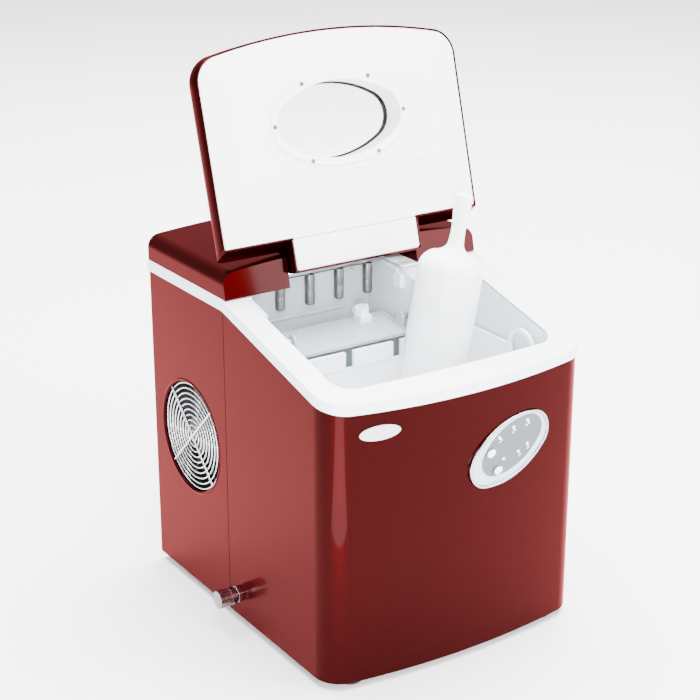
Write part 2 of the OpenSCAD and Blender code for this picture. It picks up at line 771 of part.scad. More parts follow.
module window_ring() color("white") in_lid() difference() {
    translate([0, 0, window_v]) {
        deep(-2.2, -0.65) difference() {
            oval(window_a + 6.5, window_b + 7.2);
            oval(window_a, window_b);
        }
        deep(-0.65, 21.8) difference() {
            oval(window_a + 2.3, window_b + 2.3);
            oval(window_a, window_b);
        }
    }
    screw_places() translate([0, 2, 0]) rotate([90, 0, 0]) cylinder(h = 10, r = 1.3, $fn = 24);
}

module window_lens() color("#d8ecf4") in_lid() translate([0, 0, window_v])
    deep(22, 23.6) oval(window_a + 1.5, window_b + 1.5);

module window_screws() color("silver") in_lid() screw_places() {
    translate([0, -2.2, 0]) rotate([90, 0, 0]) cylinder(h = 0.8, r = 2, $fn = 32);
    translate([0, 2, 0]) rotate([90, 0, 0]) cylinder(h = 4.2, r = 1.2, $fn = 24);
}

module hinge_pins() color("silver") for (s = [-1, 1])
    x_rod(s > 0 ? 62 : -82, s > 0 ? 82 : -62, hinge_y, hinge_z, hinge_pin_r);

/* ---- basket and scoop ---- */

// Basket seen from above, moved in by inset: square at the back, rounded and bowed at the front
module basket_outline(inset) translate([0, basket_y1 - inset]) rotate(180)
    bowed_outline(2 * (basket_x - inset), basket_y1 - basket_y0 - 2 * inset, bin_bow_r, 18 - inset);

module basket() color("white") difference() {
    union() {
        slab(basket_top_z - basket_h, basket_top_z) basket_outline(0);
        // thicker band that the slots cut through
        box([-basket_x, basket_y1 - basket_wall - 2, basket_top_z - 17], [basket_x, basket_y1, basket_top_z]);
        // half-round finger grips on the two ends
        for (s = [-1, 1]) translate([s * (basket_x - 1.5) - 1.5, -106, basket_top_z]) rotate([0, 90, 0])
            cylinder(h = 3, r = 20, $fn = 96);
    }
    difference() {
        slab(basket_top_z - basket_h + basket_wall, basket_top_z + 1) basket_outline(basket_wall);
        box([-far, basket_y1 - basket_wall - 2, basket_top_z - 17], [far, far, far]);
    }
    for (s = [-1, 1]) translate([s * (basket_x - 1.5) - 5, -106, basket_top_z]) rotate([0, 90, 0])
        cylinder(h = 10, r = 15.5, $fn = 96);
    // slots in the back wall, between tabs
    for (x = [-84, -28, 28, 84]) box([x - 4.8, basket_y1 - 5, basket_top_z - 17], [x + 4.8, basket_y1 + 5, far]);
    // drain holes in the floor
    for (x = [-100 : 20 : 100], y = [-130 : 20 : -30]) translate([x, y, basket_top_z - basket_h - 1])
        cylinder(h = 5, r = 3, $fn = 24);
}

// Half of a turned bottle shape: bowl below, neck and grip above
module scoop_profile(inset) polygon(concat(
    [[0, inset > 0 ? -60 : -40], [30 - inset, inset > 0 ? -60 : -40], [scoop_bowl_r - inset, 20]],
    [for (a = [0 : 15 : 90]) [scoop_bowl_r - inset - 22 * (1 - cos(a)), 80 - inset + 22 * sin(a)]],
    [[inset > 0 ? 0 : 8, inset > 0 ? 102 - inset : 106], [inset > 0 ? 0 : 7, inset > 0 ? 102 - inset : 120],
     [inset > 0 ? 0 : 8, inset > 0 ? 102 - inset : 156], [0, inset > 0 ? 102 - inset : 158]]
));

module scoop() color("white") translate(scoop_at) rotate([0, scoop_lean, 0]) rotate(-scoop_turn) difference() {
    rotate(180) rotate_extrude(angle = 180, $fn = 96) scoop_profile(0);
    rotate(180) rotate_extrude(angle = 180, $fn = 96) scoop_profile(2.2);
}

placed() base_pan();
placed() feet();
placed() front_shell();
placed() rear_shell();
placed() bezel();
placed() top_cover();
placed() bin_liner();
placed() insulation();
placed() control_rim();
placed() control_plate();
placed() control_pad();
placed() indicator_lights();
placed() power_button();
placed() select_button();
placed() control_board();
placed() badge();
placed() drain_nipple();
placed() drain_nut();
placed() drain_cap();
placed() drain_hose();
placed() fan_grille();
placed() fan_frame();
placed() fan_rotor();
placed() condenser();
placed() compressor();
placed() compressor_mounts();
placed() filter_drier();
placed() discharge_pipe();
placed() liquid_line();
placed() capillary_tube();
placed() suction_pipe();
placed() evaporator();
placed() cooling_fingers();
placed() ice_sensor();
placed() water_tray();
placed() tray_bracket();
placed() tray_shaft();
placed() tray_motor();
placed() water_pump();
placed() pump_impeller();
placed() water_tube();
placed() power_board();
placed() power_inlet();
placed() case_screws();
placed() hinge_pins();
placed() lid_shell();
placed() lid_tongue();
placed() lid_liner();
placed() window_ring();
placed() window_lens();
placed() window_screws();
placed() basket();
placed() scoop();
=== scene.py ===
import math

import bmesh
import bpy
from mathutils import Matrix, Vector


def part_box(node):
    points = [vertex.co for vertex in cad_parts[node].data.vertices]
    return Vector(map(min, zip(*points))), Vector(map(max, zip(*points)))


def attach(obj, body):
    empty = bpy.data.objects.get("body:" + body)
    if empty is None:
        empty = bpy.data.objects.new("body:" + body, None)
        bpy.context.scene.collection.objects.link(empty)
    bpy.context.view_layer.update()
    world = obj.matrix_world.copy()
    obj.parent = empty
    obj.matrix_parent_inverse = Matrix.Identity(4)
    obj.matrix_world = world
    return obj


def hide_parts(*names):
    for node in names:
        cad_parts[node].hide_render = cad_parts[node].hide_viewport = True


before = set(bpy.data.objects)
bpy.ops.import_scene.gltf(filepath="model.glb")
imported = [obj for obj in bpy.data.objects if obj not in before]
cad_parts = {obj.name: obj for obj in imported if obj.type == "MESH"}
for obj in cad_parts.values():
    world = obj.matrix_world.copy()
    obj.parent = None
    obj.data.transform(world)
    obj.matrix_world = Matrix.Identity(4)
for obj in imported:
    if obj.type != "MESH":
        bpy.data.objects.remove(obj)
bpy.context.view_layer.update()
MM = 0.001

# The cabinet's own frame, in millimetres: X from its mid-plane, Y from its middle, Z from the floor
FRONT_TO_MIDDLE = 179.6
shell_low, shell_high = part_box("front_shell")
MID_X = (shell_low.x + shell_high.x) / 2
MID_Y = shell_low.y + FRONT_TO_MIDDLE * MM
CABINET = Matrix.Translation((MID_X, MID_Y, 0)) @ Matrix.Scale(MM, 4)

# The lid's own frame: X across, Y through its thickness to the outside, Z up its length from the ears.
# In it, the hinge line is HINGE_DEPTH outwards from the lid's inner face and HINGE_DROP below its base.
HINGE_Y, HINGE_Z = 22.6, 358
HINGE_DEPTH, HINGE_DROP = 19.8, 19.5
LEAN = math.radians(15.7)
LID_Y = HINGE_Y - HINGE_DEPTH * math.cos(LEAN) + HINGE_DROP * math.sin(LEAN)
LID_Z = HINGE_Z + HINGE_DEPTH * math.sin(LEAN) + HINGE_DROP * math.cos(LEAN)
LID = CABINET @ Matrix.Translation((0, LID_Y, LID_Z)) @ Matrix.Rotation(-LEAN, 4, "X")


# ---------------------------------------------------------------- materials

def ramp(nodes, links, factor, low, high, ends=(0, 1)):
    """Colours a factor from low to high between the two ends, and returns the colour's socket."""
    node = nodes.new("ShaderNodeValToRGB")
    for element, position, color in zip(node.color_ramp.elements, ends, (low, high)):
        element.position = position
        element.color = (*color, 1)
    links.new(factor, node.inputs["Fac"])
    return node.outputs["Color"]


def material(name, color, rough, metal=0.0, mottle=0.06, mottle_size=0.05, grain=0.0006, bump=0.05,
             stretch=(1, 1, 1), smudge=0.06, flake=0.0, cells=False, **extra):
    """Surface with slow tone changes, fine grain in colour and bump, and smudges in its roughness.

    mottle_size and grain are lengths in metres. extra sets other inputs of the shader by their names.
    """
    mat = bpy.data.materials.new(name)
    mat.use_nodes = True
    nodes, links = mat.node_tree.nodes, mat.node_tree.links
    shader = nodes["Principled BSDF"]
    shader.inputs["Metallic"].default_value = metal
    for key, value in extra.items():
        shader.inputs[key.replace("_", " ")].default_value = value

    # two patterns, one slow and one fine, that the other steps share
    place = nodes.new("ShaderNodeTexCoord")
    slow = nodes.new("ShaderNodeTexNoise")
    slow.inputs["Scale"].default_value = 1 / mottle_size
    slow.inputs["Detail"].default_value = 4
    links.new(place.outputs["Object"], slow.inputs["Vector"])
    scale = nodes.new("ShaderNodeMapping")
    scale.inputs["Scale"].default_value = stretch
    links.new(place.outputs["Object"], scale.inputs["Vector"])
    fine = nodes.new("ShaderNodeTexVoronoi" if cells else "ShaderNodeTexNoise")
    fine.inputs["Scale"].default_value = 1 / grain
    links.new(scale.outputs["Vector"], fine.inputs["Vector"])
    fine_out = fine.outputs["Distance" if cells else 0]

    # colour: slow changes of tone with darker specks over them
    dark = [c * (1 - mottle) for c in color]
    light = [min(1, c * (1 + mottle * 0.6)) for c in color]
    speck_grey, speck_share = 0.55, 0.10
    mix = nodes.new("ShaderNodeMix")
    mix.data_type = "RGBA"
    mix.blend_type = "MULTIPLY"
    mix.inputs["Factor"].default_value = speck_share + flake
    links.new(ramp(nodes, links, slow.outputs[0], dark, light, (0.3, 0.7)), mix.inputs[6])
    links.new(ramp(nodes, links, fine_out, [speck_grey] * 3, (1, 1, 1)), mix.inputs[7])
    links.new(mix.outputs[2], shader.inputs["Base Color"])

    # smudges in the roughness
    span = nodes.new("ShaderNodeMapRange")
    span.inputs["From Min"].default_value, span.inputs["From Max"].default_value = 0.25, 0.75
    span.inputs["To Min"].default_value = max(rough - smudge, 0.02)
    span.inputs["To Max"].default_value = min(rough + smudge, 1)
    links.new(slow.outputs[0], span.inputs["Value"])
    links.new(span.outputs["Result"], shader.inputs["Roughness"])

    # fine grain in the relief
    relief = nodes.new("ShaderNodeBump")
    relief.inputs["Strength"].default_value = bump
    relief.inputs["Distance"].default_value = grain * 0.5
    links.new(fine_out, relief.inputs["Height"])
    links.new(relief.outputs["Normal"], shader.inputs["Normal"])
    return mat


RED = material("candy_red", (0.021, 0.0, 0.0002), 0.33, metal=0.85, mottle=0.06, mottle_size=0.16,
               grain=0.0014, bump=0.012, flake=0.15, smudge=0.03, Specular_IOR_Level=0.03,
               Specular_Tint=(1, 0.05, 0.06, 1), Coat_Weight=0.17, Coat_Roughness=0.05, Coat_IOR=1.28)
WHITE = material("white_gloss", (0.80, 0.825, 0.86), 0.24, mottle=0.02, mottle_size=0.12, grain=0.002,
                 bump=0.02, smudge=0.05)
LINER = material("bin_plastic", (0.66, 0.71, 0.765), 0.22, mottle=0.025, mottle_size=0.08, grain=0.0018,
                 bump=0.025, smudge=0.07)
BASKET = material("basket_plastic", (0.84, 0.86, 0.885), 0.33, mottle=0.02, mottle_size=0.06,
                  grain=0.0009, bump=0.04, Subsurface_Weight=0.05)
SCOOP = material("scoop_plastic", (0.88, 0.895, 0.915), 0.30, mottle=0.015, mottle_size=0.03,
                 grain=0.0012, bump=0.025, Subsurface_Weight=0.06)
LID_WHITE = material("lid_plastic", (0.86, 0.87, 0.89), 0.34, mottle=0.015, mottle_size=0.1,
                     grain=0.0009, bump=0.05)
STEEL = material("finger_steel", (0.20, 0.195, 0.18), 0.40, metal=1, mottle=0.2, mottle_size=0.012,
                 grain=0.00035, bump=0.2, stretch=(1, 1, 0.03), smudge=0.09)
CHROME = material("chrome", (0.40, 0.41, 0.43), 0.10, metal=1, mottle=0.05, mottle_size=0.02,
                  grain=0.0012, bump=0.01, smudge=0.05)
WIRE = material("wire_chrome", (0.62, 0.63, 0.65), 0.14, metal=1, mottle=0.1, mottle_size=0.01,
                grain=0.0008, bump=0.02)
DARK_CHROME = material("dark_chrome", (0.24, 0.22, 0.24), 0.16, metal=1, mottle=0.15, mottle_size=0.01,
                       grain=0.0007, bump=0.04)
PANEL = material("panel_silver", (0.42, 0.55, 0.64), 0.36, metal=0.15, mottle=0.03, mottle_size=0.02,
                 grain=0.0004, bump=0.05, flake=0.1)
PAD = material("panel_grey", (0.085, 0.095, 0.11), 0.40, metal=0.2, mottle=0.05, mottle_size=0.02,
               grain=0.0004, bump=0.06)
LAMP = material("lamp", (0.90, 0.93, 0.96), 0.16, mottle=0.04, mottle_size=0.004, grain=0.0005,
                bump=0.03, Subsurface_Weight=0.15)
BUTTON = material("button_white", (0.86, 0.88, 0.90), 0.28, mottle=0.03, mottle_size=0.005,
                  grain=0.0004, bump=0.04)
BADGE = material("badge_white", (0.55, 0.56, 0.56), 0.2, metal=0.3, mottle=0.03, mottle_size=0.01,
                 grain=0.0008, bump=0.02)
TRAY = material("tray_plastic", (0.36, 0.42, 0.46), 0.28, mottle=0.05, mottle_size=0.03, grain=0.001,
                bump=0.04, smudge=0.1)
BLACK = material("black_plastic", (0.018, 0.018, 0.02), 0.42, mottle=0.15, mottle_size=0.03,
                 grain=0.0008, bump=0.15)
RUBBER = material("rubber", (0.012, 0.012, 0.012), 0.75, mottle=0.2, mottle_size=0.01, grain=0.0006,
                  bump=0.25)
ENAMEL = material("black_enamel", (0.014, 0.014, 0.016), 0.3, mottle=0.2, mottle_size=0.03,
                  grain=0.002, bump=0.06, Coat_Weight=0.4)
COPPER = material("copper", (0.62, 0.25, 0.12), 0.28, metal=1, mottle=0.3, mottle_size=0.02,
                  grain=0.0008, bump=0.06, smudge=0.12)
FIN_DARK = material("fin_dark", (0.10, 0.10, 0.105), 0.5, metal=0.8, mottle=0.1, mottle_size=0.02,
                    grain=0.0005, bump=0.1, stretch=(1, 0.1, 1))
GALVANISED = material("pan_steel", (0.40, 0.41, 0.42), 0.45, metal=1, mottle=0.22, mottle_size=0.012,
                      grain=0.006, bump=0.03, cells=True, smudge=0.1)
SCREW = material("screw_steel", (0.52, 0.52, 0.51), 0.3, metal=1, mottle=0.12, mottle_size=0.004,
                 grain=0.0003, bump=0.1)
SCREW_DARK = material("screw_black", (0.10, 0.10, 0.10), 0.35, metal=1, mottle=0.12, mottle_size=0.004,
                      grain=0.0003, bump=0.1)
FOAM = material("foam", (0.80, 0.76, 0.58), 0.9, mottle=0.1, mottle_size=0.03, grain=0.0015, bump=0.6,
                cells=True)
CIRCUIT = material("circuit_board", (0.02, 0.13, 0.05), 0.35, mottle=0.3, mottle_size=0.008,
                   grain=0.0025, bump=0.12, cells=True)
HOSE = material("hose", (0.72, 0.76, 0.78), 0.3, mottle=0.05, mottle_size=0.02, grain=0.001, bump=0.05,
                Subsurface_Weight=0.1)
MOTOR = material("motor_can", (0.50, 0.50, 0.46), 0.4, metal=0.7, mottle=0.1, mottle_size=0.01,
                 grain=0.0006, bump=0.08)
BLUE = material("impeller_blue", (0.05, 0.14, 0.36), 0.36, mottle=0.1, mottle_size=0.01, grain=0.0006,
                bump=0.08)


def clear_plastic(name):
    """Clear moulded plastic: what is behind it shows, with a faint tint, fine waves and a gloss."""
    mat = bpy.data.materials.new(name)
    mat.use_nodes = True
    nodes, links = mat.node_tree.nodes, mat.node_tree.links
    nodes.remove(nodes["Principled BSDF"])
    place = nodes.new("ShaderNodeTexCoord")
    waves = nodes.new("ShaderNodeTexNoise")
    waves.inputs["Scale"].default_value = 60
    links.new(place.outputs["Object"], waves.inputs["Vector"])
    relief = nodes.new("ShaderNodeBump")
    relief.inputs["Strength"].default_value = 0.05
    relief.inputs["Distance"].default_value = 1 * MM
    links.new(waves.outputs[0], relief.inputs["Height"])
    see = nodes.new("ShaderNodeBsdfTransparent")
    links.new(ramp(nodes, links, waves.outputs[0], (0.93, 0.96, 0.97), (0.99, 1, 1)), see.inputs["Color"])
    shine = nodes.new("ShaderNodeBsdfGlossy")
    shine.inputs["Roughness"].default_value = 0.04
    links.new(relief.outputs["Normal"], shine.inputs["Normal"])
    fresnel = nodes.new("ShaderNodeFresnel")
    fresnel.inputs["IOR"].default_value = 1.3
    mix = nodes.new("ShaderNodeMixShader")
    links.new(fresnel.outputs[0], mix.inputs[0])
    links.new(see.outputs[0], mix.inputs[1])
    links.new(shine.outputs[0], mix.inputs[2])
    links.new(mix.outputs[0], nodes["Material Output"].inputs["Surface"])
    return mat


CLEAR = clear_plastic("clear_plastic")

# Every CAD node: its material, and the size of the rounding on its moulded or pressed edges in mm
NODE_LOOK = {
    "base_pan": (GALVANISED, 0.5), "feet": (RUBBER, 1.0), "front_shell": (RED, 0.6),
    "rear_shell": (RED, 0.5), "bezel": (WHITE, 1.8), "top_cover": (RED, 1.4), "bin_liner": (LINER, 1.6),
    "insulation": (FOAM, 0), "control_rim": (CHROME, 0.7), "control_plate": (PANEL, 0.3),
    "control_pad": (PAD, 0.3), "indicator_lights": (LAMP, 0.4), "power_button": (BUTTON, 0.6),
    "select_button": (BUTTON, 0.6), "control_board": (CIRCUIT, 0), "badge": (BADGE, 0.6),
    "drain_nipple": (CHROME, 0.4), "drain_nut": (CHROME, 0.5), "drain_cap": (DARK_CHROME, 0.35),
    "drain_hose": (HOSE, 0), "fan_grille": (WIRE, 0), "fan_frame": (BLACK, 0.6),
    "fan_rotor": (BLACK, 0.4), "condenser": (FIN_DARK, 0), "compressor": (ENAMEL, 1.0),
    "compressor_mounts": (RUBBER, 0.6), "filter_drier": (COPPER, 0.4), "discharge_pipe": (COPPER, 0),
    "liquid_line": (COPPER, 0), "capillary_tube": (COPPER, 0), "suction_pipe": (COPPER, 0),
    "evaporator": (CHROME, 0.5), "cooling_fingers": (STEEL, 0), "ice_sensor": (WHITE, 0.4),
    "water_tray": (TRAY, 0.9), "tray_bracket": (WHITE, 0.9), "tray_shaft": (SCREW, 0.3),
    "tray_motor": (MOTOR, 0.6), "water_pump": (WHITE, 0.6), "pump_impeller": (BLUE, 0.2),
    "water_tube": (HOSE, 0), "power_board": (CIRCUIT, 0.3), "power_inlet": (BLACK, 0.5),
    "case_screws": (SCREW, 0.2), "hinge_pins": (SCREW, 0.4), "lid_shell": (RED, 0),
    "lid_tongue": (RED, 1.2), "lid_liner": (LID_WHITE, 0), "window_ring": (LID_WHITE, 0.7),
    "window_lens": (CLEAR, 0.4), "window_screws": (SCREW_DARK, 0.3), "basket": (BASKET, 1.1),
    "scoop": (SCOOP, 0),
}


def round_edges(obj, width):
    """Moulded edges: joins the faces that meet, rounds the sharp edges and keeps the flats flat."""
    weld = obj.modifiers.new("weld", "WELD")
    weld.merge_threshold = 0.01 * MM
    bevel = obj.modifiers.new("round", "BEVEL")
    bevel.width = width * MM
    bevel.segments = 3
    bevel.limit_method = "ANGLE"
    bevel.angle_limit = math.radians(32)
    bevel.miter_outer = "MITER_ARC"
    normal = obj.modifiers.new("normals", "WEIGHTED_NORMAL")
    normal.weight = 60
    normal.keep_sharp = False


for name, (look, rounding) in NODE_LOOK.items():
    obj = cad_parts[name]
    obj.data.materials.clear()
    obj.data.materials.append(look)
    if rounding:
        round_edges(obj, rounding)


# ---------------------------------------------------------------- building pieces

# Points of a piece that are closer than this, in millimetres, become one
SAME_POINT = 0.001


def smooth_step(t):
    """Runs smoothly from 0 to 1 as t does, and stays level outside."""
    t = min(max(t, 0), 1)
    return t * t * (3 - 2 * t)


def piece(name, shape, look, body, node=None, place=CABINET):
    """Turns a bmesh in millimetres into a piece that rides on a body, and may replace a CAD node."""
    bmesh.ops.remove_doubles(shape, verts=shape.verts, dist=SAME_POINT)
    bmesh.ops.recalc_face_normals(shape, faces=shape.faces)
    mesh = bpy.data.meshes.new(name)
    shape.to_mesh(mesh)
    shape.free()
    mesh.transform(place)
    for face in mesh.polygons:
        face.use_smooth = True
    mesh.materials.append(look)
    obj = bpy.data.objects.new(name, mesh)
    bpy.context.scene.collection.objects.link(obj)
    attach(obj, body)
    if node:
        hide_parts(node)
    return obj


def skin(shape, rings, closed=True):
    """Skins a list of rings, each a list of points, and returns the rings of vertices."""
    made = [[shape.verts.new(point) for point in ring] for ring in rings]
    count = len(made[0])
    for lower, upper in zip(made, made[1:]):
        for i in range(count if closed else count - 1):
            j = (i + 1) % count
            shape.faces.new((lower[i], lower[j], upper[j], upper[i]))
    return made


def fill_between(shape, *rings):
    """Fills the flat field bounded by the rings of vertices."""
    edges = []
    for ring in rings:
        for ends in zip(ring, ring[1:] + ring[:1]):
            edges.append(shape.edges.get(ends) or shape.edges.new(ends))
    bmesh.ops.triangle_fill(shape, use_beauty=True, use_dissolve=False, edges=edges)


def arc(cx, cy, r, start, end, steps):
    """Points on an arc from one angle to another, in degrees."""
    angles = [math.radians(start + (end - start) * i / steps) for i in range(steps + 1)]
    return [(cx + r * math.cos(angle), cy + r * math.sin(angle)) for angle in angles]


def rounded_box(x0, x1, y0, y1, r, steps=6):
    """Points round a rectangle with rounded corners, from its lower right corner."""
    corners = ((x1 - r, y0 + r, -90), (x1 - r, y1 - r, 0), (x0 + r, y1 - r, 90), (x0 + r, y0 + r, 180))
    return [point for cx, cy, start in corners for point in arc(cx, cy, r, start, start + 90, steps)]


def mirrored(points):
    """The same points on the other side of the middle, in the order that runs on round an outline."""
    return [(-x, y) for x, y in reversed(points)]


def at_depth(y, outline):
    """Stands an outline of (x, z) points up at one depth."""
    return [(x, y, z) for x, z in outline]


def turned(shape, profile, steps, place):
    """Skins a profile of (radius, height) points turned about the Z axis of place."""
    turns = [2 * math.pi * i / steps for i in range(steps)]
    rings = [[place @ Vector((r * math.cos(turn), r * math.sin(turn), z)) for turn in turns]
             for r, z in profile]
    skin(shape, rings)


# ---------------------------------------------------------------- lid

LID_W, LID_LEN, LID_BOW, LID_CORNER = 293, 193.3, 17.6, 27
LID_BOW_R = (LID_W ** 2 / 4 + LID_BOW ** 2) / (2 * LID_BOW)
LID_WALL, LID_SIDE, LID_ROUND, LID_UNDERCUT = 1.6, 13, 12, 0.436
WINDOW_Z, WINDOW_A, WINDOW_B = 107, 70, 37
BASE_STEPS, SIDE_STEPS, CORNER_STEPS, BOW_STEPS = 72, 36, 18, 72


def lid_outline(inset, low):
    """Round the lid: straight base at height low, right side and corner, bowed top, and the left side."""
    w, h = LID_W - 2 * inset, LID_LEN - inset
    bow_r, corner = LID_BOW_R - inset, max(LID_CORNER - inset, 2)
    mid, cx = h - bow_r, w / 2 - corner
    cy = mid + math.sqrt((bow_r - corner) ** 2 - cx ** 2)
    turn = math.degrees(math.asin(cx / (bow_r - corner)))
    base = [(-w / 2 + w * i / BASE_STEPS, low) for i in range(BASE_STEPS)]
    side = [(w / 2, low + (cy - low) * i / SIDE_STEPS) for i in range(SIDE_STEPS)]
    right = arc(cx, cy, corner, 0, 90 - turn, CORNER_STEPS)
    top = arc(0, mid, bow_r, 90 - turn, 90 + turn, BOW_STEPS)[1:-1]
    return base + side + right + top + mirrored(right) + mirrored(side)[:-1]


def oval_radius(a, b, angle):
    """Distance from the centre to an oval of four arcs, in the direction of the angle."""
    end_fullness = 1.25
    end_r = end_fullness * b * b / a
    drop = ((a - end_r) ** 2 - (b - end_r) ** 2) / (2 * (b - end_r))
    side_r, across, up = b + drop, abs(math.cos(angle)), abs(math.sin(angle))
    touch_x = (a - end_r) * side_r / (side_r - end_r)
    # the side arc has its centre at (0, -drop), and the end arc at (a - end_r, 0)
    reach = -drop * up + math.sqrt(max(side_r ** 2 - (drop * across) ** 2, 0))
    if reach * across <= touch_x:
        return reach
    k = (a - end_r) * across
    return k + math.sqrt(max(end_r ** 2 - (a - end_r) ** 2 + k * k, 0))


def window_outline(ring, grow):
    """The window's oval, grown by a margin, with a point in line with each point of the ring."""
    made = []
    for x, z in ring:
        angle = math.atan2(z - WINDOW_Z, x)
        r = oval_radius(WINDOW_A + grow, WINDOW_B + grow, angle)
        made.append((r * math.cos(angle), WINDOW_Z + r * math.sin(angle)))
    return made


def lid_shell_piece():
    """Red outer shell: thin rim, side, rounded shoulder, crowned back and the window's edge."""
    crown, steps = 2.6, 12
    shoulder = LID_SIDE + LID_ROUND
    # sections of the rim and side are (inset, depth, height of the base)
    sections = [(LID_WALL, 3, 3), (LID_WALL, 0.4, LID_WALL), (1.2, 0, 1.2), (0.5, 0, 0.5), (0, 0.5, 0.2),
                (0, LID_SIDE, -LID_UNDERCUT * LID_SIDE)]
    for i in range(1, steps + 1):
        angle = math.radians(90 * i / steps)
        depth = LID_SIDE + LID_ROUND * math.sin(angle)
        sections.append((LID_ROUND * (1 - math.cos(angle)), depth, -LID_UNDERCUT * depth))
    rings = [at_depth(depth, lid_outline(inset, low)) for inset, depth, low in sections]
    edge = lid_outline(LID_ROUND, -LID_UNDERCUT * shoulder)
    hole = window_outline(edge, -1.2)
    for i in range(1, steps + 1):
        s = i / steps
        depth = shoulder + crown * math.sin(math.radians(90 * min(s * 1.25, 1)))
        rings.append([(x + (hole_x - x) * s, depth, z + (hole_z - z) * s)
                      for (x, z), (hole_x, hole_z) in zip(edge, hole)])
    # the window's edge rolls inwards, by (margin, depth)
    for grow, depth in ((-1.5, 27.4), (-1.6, 27.0), (-1.6, 26.2), (-1.0, 26.0)):
        rings.append(at_depth(depth, window_outline(edge, grow)))
    shape = bmesh.new()
    skin(shape, rings)
    piece("lid_shell_skin", shape, RED, "lid", "lid_shell", LID)


def liner_outline(inset):
    """Round the white liner: the lid's outline with the tongue's cover below it."""
    gap, base, corner = 1.9, 2, 3
    cover_half, cover_low = 71.2 - inset, -29.9 + inset
    step = base + inset - 0.01
    half = LID_W / 2 - gap - inset
    above = [point for point in lid_outline(gap + inset, base + inset) if point[1] > base + inset + 0.001]
    right = arc(cover_half - corner, cover_low + corner, corner, -90, 0, 5)
    return (mirrored(right) + right + [(cover_half, step), (half - 1, step)] + above
            + [(1 - half, step), (-cover_half, step)])


def lid_liner_piece():
    """White inner liner with a rolled edge, a raised field and the window's opening."""
    half, low, high, corner = 120, 58, 158, 8
    # the rolled edge is (inset, depth), and the field's step and the opening are (margin, depth)
    roll = ((0, 2.4), (0, 1.5), (0.15, 0.9), (0.5, 0.4), (1.0, 0.1), (1.6, 0))
    step = ((0.9, 0), (0.6, -0.12), (0.3, -0.42), (0, -0.55), (-0.4, -0.6))
    opening = ((3.0, -0.6), (2.7, -0.4), (2.7, 2.2))
    shape = bmesh.new()
    edge = skin(shape, [at_depth(depth, liner_outline(inset)) for inset, depth in roll])
    field = skin(shape, [at_depth(depth, rounded_box(-half - g, half + g, low - g, high + g, corner + g))
                         for g, depth in step])
    fill_between(shape, edge[-1], field[0])
    circle = [(math.cos(math.radians(a)), WINDOW_Z + math.sin(math.radians(a))) for a in range(0, 360, 4)]
    hole = skin(shape, [at_depth(depth, window_outline(circle, g)) for g, depth in opening])
    fill_between(shape, field[-1], hole[0])
    piece("lid_liner_panel", shape, LID_WHITE, "lid", "lid_liner", LID)


lid_shell_piece()
lid_liner_piece()


# ---------------------------------------------------------------- fingers, scoop, small parts

def finger_pieces():
    """Brushed cooling fingers, each with a rounded tip, a shallow turned groove and a neck at its top."""
    count, tip_r, groove, neck = 4, 2.2, 0.12, 0.4
    low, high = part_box("cooling_fingers")
    r = (high.y - low.y) / 2 / MM
    base = low.z / MM
    length = high.z / MM - base
    profile = [(0.05, 0)] + arc(r - tip_r, tip_r, tip_r, -90, 0, 9)
    profile += [(r, 14), (r - groove, 14.4), (r - groove, 14.9), (r, 15.3), (r, length - 3),
                (r - neck, length - 2.2), (r - neck, length)]
    pitch = (high.x - low.x - 2 * r * MM) / (count - 1) / MM
    first_x = (low.x - MID_X) / MM + r
    y = ((low.y + high.y) / 2 - MID_Y) / MM
    shape = bmesh.new()
    for i in range(count):
        turned(shape, profile, 48, Matrix.Translation((first_x + pitch * i, y, base)))
    piece("finger_set", shape, STEEL, "cabinet", "cooling_fingers")


def scoop_profile():
    """Half of the scoop's outline as (radius, height), from the mouth up to the end of the grip."""
    bowl_r, shoulder_r, neck_r = 33.4, 20, 8
    mouth_z, shoulder_z, neck_rise, grip_z, cap_h = -40, 80, 12, 153.5, 4
    profile = [(30, mouth_z), (31.2, -20), (32.6, 0), (33.2, 14), (bowl_r, 28), (bowl_r, 50), (bowl_r, 70)]
    profile += arc(bowl_r - shoulder_r, shoulder_z, shoulder_r, 0, 63, 9)
    last_r, last_z = profile[-1]
    for i in range(1, 9):
        s = i / 8
        profile.append((last_r + (neck_r - last_r) * math.sin(s * math.pi / 2),
                        last_z + neck_rise * s ** 1.6))
    neck_z = profile[-1][1]
    for i in range(1, 13):
        s = i / 12
        waist = 0.8 * math.sin(math.pi * min(s * 1.6, 1))
        profile.append((neck_r - waist + 0.9 * smooth_step(s), neck_z + (grip_z - neck_z) * s))
    grip_r = profile[-1][0]
    for a in range(15, 90, 15):
        profile.append((grip_r * math.cos(math.radians(a)), grip_z + cap_h * math.sin(math.radians(a))))
    return profile + [(0.4, grip_z + cap_h + 0.1)]


def scoop_piece():
    """Half-round scoop: an open bowl with soft shoulders that runs into a rounded, flatter grip."""
    stand, lean, turn = (53, -55, 265), math.radians(10.9), math.radians(-62)
    flatten, flat_from, flat_over, wall, steps = 0.25, 96, 16, 2.2, 40
    turns = [math.pi * i / steps for i in range(steps + 1)]
    rings = []
    for r, z in scoop_profile():
        flat = 1 - flatten * smooth_step((z - flat_from) / flat_over)
        rings.append([(-r * math.cos(a), -r * flat * math.sin(a), z) for a in turns])
    shape = bmesh.new()
    skin(shape, rings, closed=False)
    upright = CABINET @ Matrix.Translation(stand)
    place = upright @ Matrix.Rotation(lean, 4, "Y") @ Matrix.Rotation(turn, 4, "Z")
    obj = piece("scoop_body", shape, SCOOP, "scoop", "scoop", place)
    solid = obj.modifiers.new("wall", "SOLIDIFY")
    solid.thickness = wall * MM
    solid.offset = -1
    rim = obj.modifiers.new("rim", "BEVEL")
    rim.width = 0.8 * MM
    rim.segments = 4
    rim.limit_method = "ANGLE"
    rim.angle_limit = math.radians(50)
    obj.modifiers.new("normals", "WEIGHTED_NORMAL").keep_sharp = False


